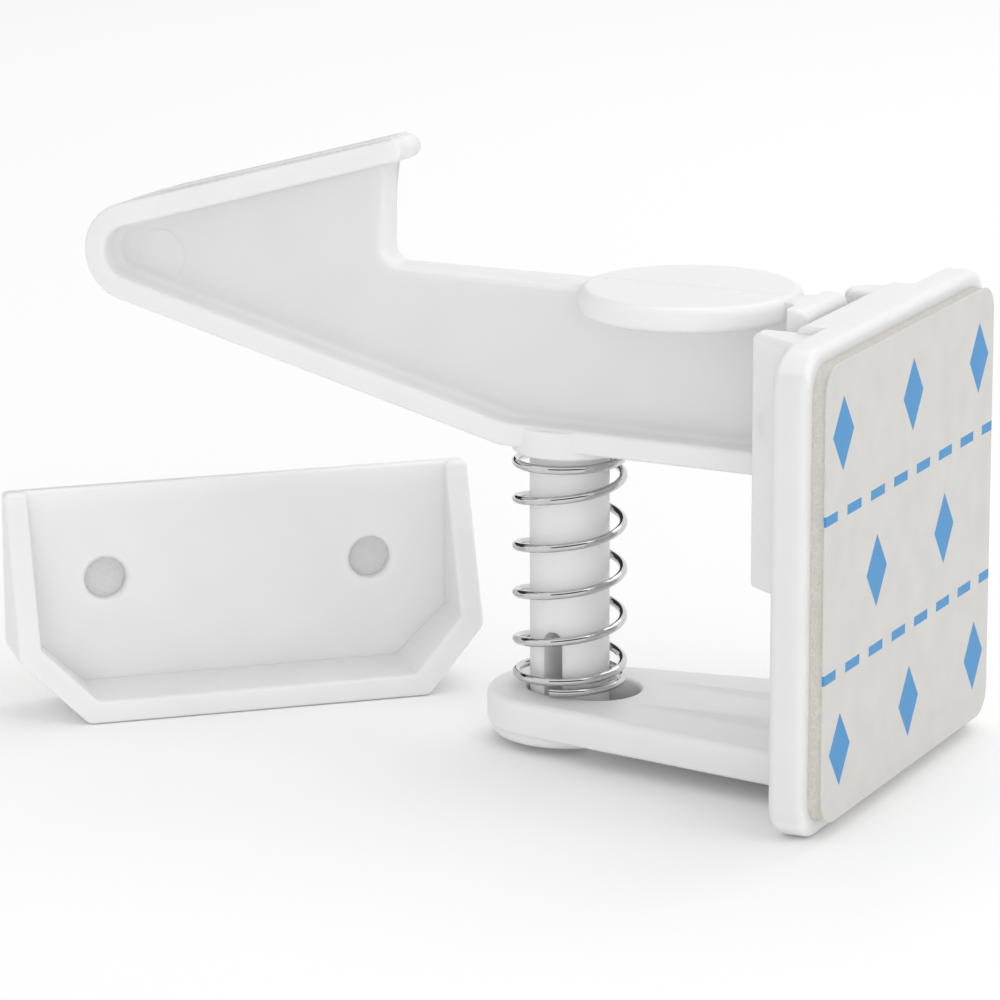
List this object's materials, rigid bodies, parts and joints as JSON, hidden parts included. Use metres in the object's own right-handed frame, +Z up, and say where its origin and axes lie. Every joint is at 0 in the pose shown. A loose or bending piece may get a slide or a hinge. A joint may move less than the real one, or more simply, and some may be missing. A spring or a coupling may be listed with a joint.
{
  "type": "cabinet safety lock",
  "caption": "Stick-on cabinet child lock: base plate with hinge walls and tongue, sprung hook arm with press disc and snap post, and a separate wedge-shaped strike tray.",
  "frame": {"origin": "centre of the base's sticking face, on the outside of its release liner", "axes": "+X into the door that the base sticks to, so the hook reaches along -X; +Z up; +Y completes a right-handed frame"},
  "size_m": [0.0834, 0.041, 0.0532],
  "materials": {
    "white_plastic": "satin white injection moulding",
    "spring_steel": "bright drawn spring wire",
    "foam": "soft closed-cell foam tape, matt cut edge",
    "release_paper": "silicone-coated release paper, slightly glossy"
  },
  "bodies": {
    "base_body": {"base": "white_plastic", "base_foam_pad": "foam", "base_release_liner": "release_paper"},
    "arm_body": {"arm": "white_plastic", "return_spring": "spring_steel"},
    "strike_body": {"strike": "white_plastic", "strike_foam_pad": "foam", "strike_release_liner": "release_paper"}
  },
  "joints": [
    {"name": "arm_press", "type": "hinge", "parent": "base_body", "child": "arm_body", "pos_m": [-0.0075, 0, 0.0125], "axis": [0, -1, 0], "range_deg": [0, 5], "stiffness_Nm_per_rad": 0.5, "springref_deg": -2.86, "deforming": ["return_spring"]},
    {"name": "strike_set_aside", "type": "slide", "parent": "base_body", "child": "strike_body", "axis": [0, -1, 0], "range_m": [0, 0.03]}
  ]
}
